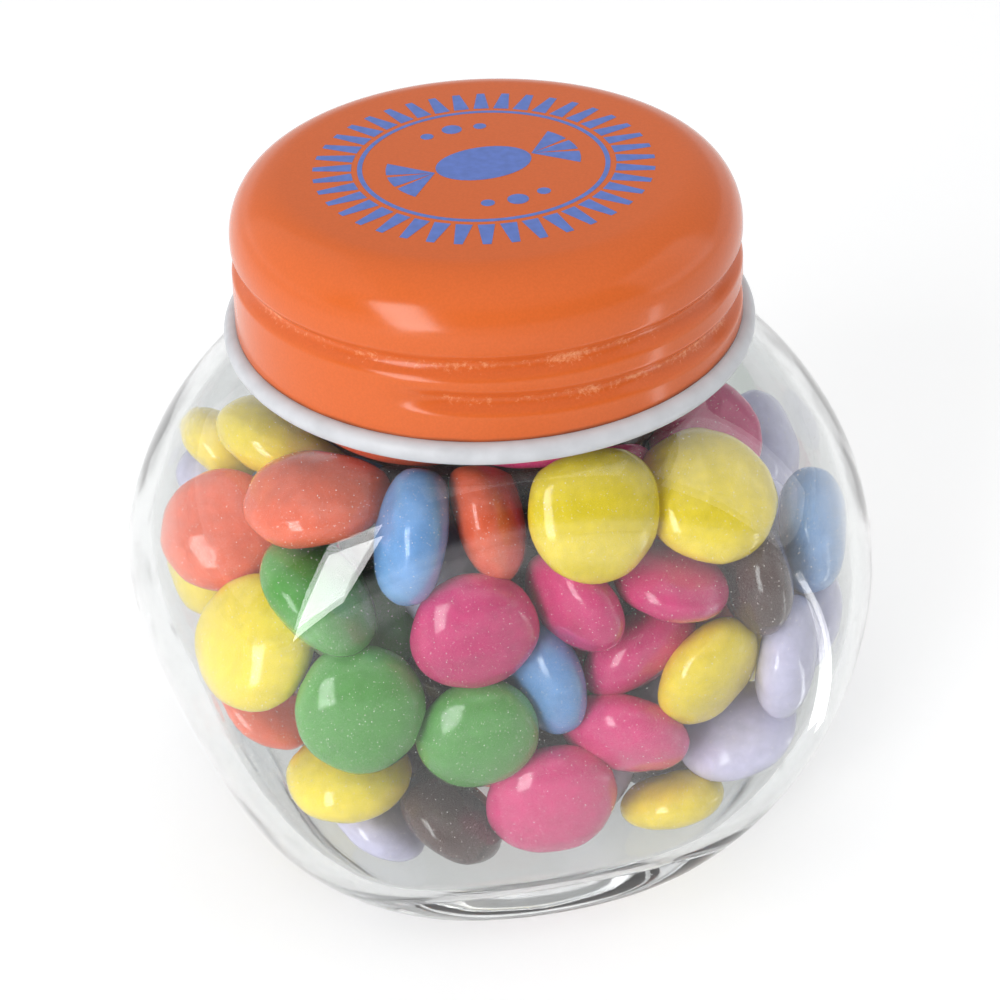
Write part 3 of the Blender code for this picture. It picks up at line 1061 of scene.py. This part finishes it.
def pushApart(places, frames, size, free, steps, shy, toCamera, sights=None):
    # moves overlapping sweets off each other, little by little, and back inside the glass;
    # with lines of sight, a sweet keeps to its own line
    s = sweetSet
    p = packSet
    balls, ballSizes = standInBalls()
    radii = ballSizes[None] * size[:, None]
    anchors = places.copy()
    core = np.array([0, 0, s["coreHeight"]])
    reach = 2 * s["radius"] * p["reach"]
    bodies = np.arange(len(places))
    for step in range(steps):
        offsets = np.einsum("bij,kj->bki", frames, balls) * size[:, None, None]
        points = places[:, None] + offsets
        apart = np.linalg.norm(places[:, None] - places[None], axis=-1)
        first, second = np.nonzero(np.triu(apart < reach, 1))
        loose = free[first] + free[second] > 0
        first, second = first[loose], second[loose]
        gaps = points[first][:, :, None] - points[second][:, None]
        lengths = np.linalg.norm(gaps, axis=-1)
        overlap = radii[first][:, :, None] + radii[second][:, None] - lengths
        worst = overlap.reshape(len(first), -1).argmax(axis=1)
        i, j = np.unravel_index(worst, overlap.shape[1:])
        pairs = np.arange(len(first))
        amount = np.maximum(overlap[pairs, i, j], 0)
        push = gaps[pairs, i, j] / np.maximum(lengths[pairs, i, j], 1e-6)[:, None] * amount[:, None]
        share = free[first] / (free[first] + free[second])
        contact = (points[first, i] + points[second, j]) / 2
        move = np.zeros_like(places)
        twist = np.zeros_like(places)
        touched = np.zeros(len(places))
        for index, sign, part in ((first, 1, share), (second, -1, 1 - share)):
            shift = push * (sign * part)[:, None]
            np.add.at(move, index, shift)
            np.add.at(twist, index, np.cross(contact - places[index], shift))
            np.add.at(touched, index, amount > 0)
        room, outward = roomInside(points, radii, shy, toCamera)
        nearest = room.argmin(axis=1)
        short = np.minimum(room[bodies, nearest], 0)
        shift = outward[bodies, nearest] * short[:, None]
        move += shift * p["wallPush"]
        twist += np.cross(points[bodies, nearest] - places, shift)
        touched += short < 0
        inward = places - core
        depth = np.linalg.norm(inward, axis=1)
        buried = np.maximum(s["coreRadius"] + s["half"] - depth, 0)
        move += inward / depth[:, None] * buried[:, None] * p["corePush"]
        calm = 1 / np.maximum(touched, 1) ** 0.5
        held = free > 0
        places = places + move * (calm * held)[:, None]
        if sights is not None:
            drift = places - anchors
            along = np.einsum("ij,ij->i", drift, sights)[:, None] * sights
            across = drift - along
            much = np.linalg.norm(across, axis=1)[:, None]
            across *= np.minimum(1, p["drift"] / np.maximum(much, 1e-9))
            places = anchors + along + across
            room, outward = roomInside(places[:, None] + offsets, radii, 0, toCamera)
            nearest = room.argmin(axis=1)
            short = np.minimum(room[bodies, nearest] + s["gap"] * p["press"], 0)
            places += outward[bodies, nearest] * short[:, None]
            continue
        if step < steps * p["settlePart"]:
            places[held, 2] -= p["settle"]
        ease = p["swing"] / (p["inertia"] * s["radius"] ** 2)
        swing = twist * (calm * held * ease)[:, None]
        angle = np.linalg.norm(swing, axis=1)
        for b in np.nonzero(angle > 1e-5)[0]:
            turn = Matrix.Rotation(min(angle[b], p["mostTurn"]), 3, Vector(swing[b] / angle[b]))
            frames[b] = np.array(turn) @ frames[b]
    print("  worst overlap %.2f mm, mean %.3f mm" % (amount.max() * 1000, amount.mean() * 1000))
    return places, frames


def packSweets(eye, view, glass, toCamera):
    # first the sweets that show, each on its line of sight, then the rest round and behind them
    s = sweetSet
    chance = np.random.default_rng(s["seed"])
    balls, ballSizes = standInBalls()
    seenPlaces, seenFrames, sights = placeSeen(eye, view, glass, balls, ballSizes)
    shown = len(seenPlaces)
    seenSize = np.array([sweet["size"] for sweet in seenSweets])
    free = np.array([0.1 + 400 * sweet["deep"] for sweet in seenSweets])
    print("packing the sweets that show")
    seenPlaces, seenFrames = pushApart(seenPlaces, seenFrames, seenSize, free, packSet["seenSteps"],
                                       0, toCamera, sights)
    rest = s["count"] - shown
    restPlaces, restFrames = scatterRest(rest, chance)
    places = np.concatenate([seenPlaces, restPlaces])
    frames = np.concatenate([seenFrames, restFrames])
    size = np.concatenate([seenSize, 1 + chance.uniform(-s["sizeSpread"], s["sizeSpread"], rest)])
    free = np.concatenate([np.zeros(shown), np.ones(rest)])
    shy = np.concatenate([np.zeros(shown), np.full(rest, s["shyness"])])[:, None]
    print("packing the rest")
    places, frames = pushApart(places, frames, size, free, packSet["restSteps"], shy, toCamera)
    return places, frames, size, shown


def lentilTree():
    # lentils on points, pressed a little out of true, each from the same soft-edged form
    tree, given = newTree("lentilScatter", [
        ("Radius", "NodeSocketFloat", 0.005),
        ("Half", "NodeSocketFloat", 0.0026),
        ("Shoulder", "NodeSocketFloat", 0.1),
        ("Unevenness", "NodeSocketFloat", 0.0001),
        ("Lump Scale", "NodeSocketFloat", 150.0),
        ("Shell", "NodeSocketMaterial", None),
    ])
    ball = addNode(tree, "GeometryNodeMeshIcoSphere", {"Radius": 1.0, "Subdivisions": 4})
    place = addNode(tree, "GeometryNodeInputPosition").outputs[0]
    apart = addNode(tree, "ShaderNodeSeparateXYZ", {0: place}).outputs
    hump = mathNode(tree, "SUBTRACT", 1.0, mathNode(tree, "MULTIPLY", apart["Z"], apart["Z"]))
    bulge = mathNode(tree, "ADD", 1.0, mathNode(tree, "MULTIPLY", hump, given["Shoulder"]))
    thick = mathNode(tree, "MULTIPLY", bulge, given["Half"])
    together = addNode(tree, "ShaderNodeCombineXYZ", {
        "X": mathNode(tree, "MULTIPLY", apart["X"], given["Radius"]),
        "Y": mathNode(tree, "MULTIPLY", apart["Y"], given["Radius"]),
        "Z": mathNode(tree, "MULTIPLY", apart["Z"], thick),
    })
    shape = addNode(tree, "GeometryNodeSetPosition",
                    {"Geometry": ball.outputs["Mesh"], "Position": together.outputs[0]})
    lay, size = [addNode(tree, "GeometryNodeInputNamedAttribute", {"Name": title},
                         data_type="FLOAT_VECTOR").outputs["Attribute"]
                 for title in ("lay", "size")]
    facing = addNode(tree, "FunctionNodeEulerToRotation", {"Euler": lay})
    spread = addNode(tree, "GeometryNodeInstanceOnPoints",
                     {"Points": given["Geometry"], "Instance": shape.outputs["Geometry"],
                      "Rotation": facing.outputs["Rotation"], "Scale": size})
    real = addNode(tree, "GeometryNodeRealizeInstances", {"Geometry": spread.outputs["Instances"]})
    lumps = addNode(tree, "ShaderNodeTexNoise",
                    {"Vector": place, "Scale": given["Lump Scale"], "Detail": 2.0}).outputs["Fac"]
    lift = mathNode(tree, "MULTIPLY", mathNode(tree, "SUBTRACT", lumps, 0.5),
                    mathNode(tree, "MULTIPLY", given["Unevenness"], 4.0))
    normal = addNode(tree, "GeometryNodeInputNormal").outputs[0]
    along = addNode(tree, "ShaderNodeVectorMath", {0: normal, "Scale": lift}, operation="SCALE")
    press = addNode(tree, "GeometryNodeSetPosition",
                    {"Geometry": real.outputs["Geometry"], "Offset": along.outputs["Vector"]})
    soft = addNode(tree, "GeometryNodeSetShadeSmooth", {"Geometry": press.outputs["Geometry"]})
    return endTree(tree, soft.outputs["Geometry"], given["Shell"])


def sugarShell(name, tone):
    # thin polished sugar: a faint mottle, a little dust, and each sweet a shade lighter or darker
    s = shellSet
    finish, tree, shader = newFinish(name, tone, s["roughness"])
    shader.inputs["Specular IOR Level"].default_value = s["gloss"]
    even = blendTones(tree, noiseNode(tree, s["mottleScale"], 4, 0.6), 0.3, 0.72, scaled(tone, 0.90),
                      tuple(min(1, c * 1.07 + 0.006) for c in tone))
    specks = noiseNode(tree, s["speckScale"], 1)
    dusty = rangeNode(tree, specks, *s["dustFrom"], s["dustShare"])
    dusted = mixTones(tree, dusty, even, (*s["dust"], 1))
    shade = addNode(tree, "ShaderNodeAttribute", attribute_name="shade").outputs["Fac"]
    tint = addNode(tree, "ShaderNodeVectorMath", {0: dusted, "Scale": shade}, operation="SCALE")
    tree.links.new(tint.outputs["Vector"], shader.inputs["Base Color"])
    addBump(tree, shader, noiseNode(tree, s["grainScale"], 3), s["grainHeight"], 0.0001)
    return finish


def shellNames(places, shown, toCamera, chance):
    # the seen sweets have their own colours; the unseen ones near the front are mostly brown, real
    # brown sweets that also paint the shade in the gaps behind them
    names = list(shellTones)
    shells = [sweet["shell"] for sweet in seenSweets]
    for place in places[shown:]:
        facing = (place - middle) @ toCamera
        dark = facing > sweetSet["darkFrom"] and chance.random() < sweetSet["darkShare"]
        shells.append("brown" if dark else names[chance.integers(len(names))])
    return shells


def makeSweets(eye, view, glass):
    s = sweetSet
    toCamera = (eye - middle) / np.linalg.norm(eye - middle)
    places, frames, size, shown = packSweets(eye, view, glass, toCamera)
    chance = np.random.default_rng(s["seed"] + 1)
    shells = shellNames(places, shown, toCamera, chance)
    tree = lentilTree()
    for name in shellTones:
        chosen = [i for i, shell in enumerate(shells) if shell == name]
        seeds = bpy.data.meshes.new(name + "Seeds")
        seeds.from_pydata([tuple(places[i]) for i in chosen], [], [])
        for title, kind in (("lay", "FLOAT_VECTOR"), ("size", "FLOAT_VECTOR"), ("shade", "FLOAT")):
            seeds.attributes.new(title, kind, "POINT")
        for k, i in enumerate(chosen):
            seeds.attributes["lay"].data[k].vector = Matrix(frames[i].tolist()).to_euler()
            uneven = 1 + chance.uniform(-s["outOfTrue"], s["outOfTrue"], 3)
            seeds.attributes["size"].data[k].vector = size[i] * uneven
            shade = 1 + chance.uniform(-s["shadeSpread"], s["shadeSpread"])
            seeds.attributes["shade"].data[k].value = shade
        piece = growPiece("sweets_" + name, seeds, tree, {
            "Radius": s["radius"],
            "Half": s["half"],
            "Shoulder": s["shoulder"],
            "Unevenness": s["unevenness"],
            "Lump Scale": s["lumpScale"],
            "Shell": sugarShell(name + "Shell", shellTones[name]),
        })
        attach(piece, "root")
        if name == "yellow":
            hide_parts("chocolates")
        print("%s: %d sweets, %d faces" % (piece.name, len(chosen), len(piece.data.polygons)))


def makeCore():
    # fills the middle of the heap, where no sweet shows, with one dark brown body: it stands in for
    # the hidden sweets and is painted shade deep in the heap
    s = sweetSet
    radius, height = s["coreRadius"], s["coreHeight"]
    slope = np.linspace(0.1, math.pi - 0.1, s["coreRings"])
    profile = np.stack([radius * np.sin(slope), height + radius * np.cos(slope)], axis=1)
    rings = turnedRings(profile, s["coreAround"])
    mesh = ringMesh("heapShadeCore", rings, (0, 0, height + radius), (0, 0, height - radius))
    core = newPiece("heapShadeCore", mesh, sugarShell("coreShadeBrown", shellTones["brown"]))
    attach(core, "root")


scene = bpy.context.scene
scene.view_settings.view_transform = "Standard"
scene.view_settings.look = "None"
scene.cycles.glossy_bounces = 18           # light is thrown back many times inside thick glass
scene.cycles.max_bounces = 24
scene.cycles.transmission_bounces = 16
eye, view = makeCamera()
makeWorld()
makeLights()
makeFloor()
makeGleam()
print("camera and light ready")
glass, innerWall = makeGlass()
makeDust(innerWall)
makeLid()
makeRim()
makePrint()
makeSweets(eye, view, glass)
makeCore()
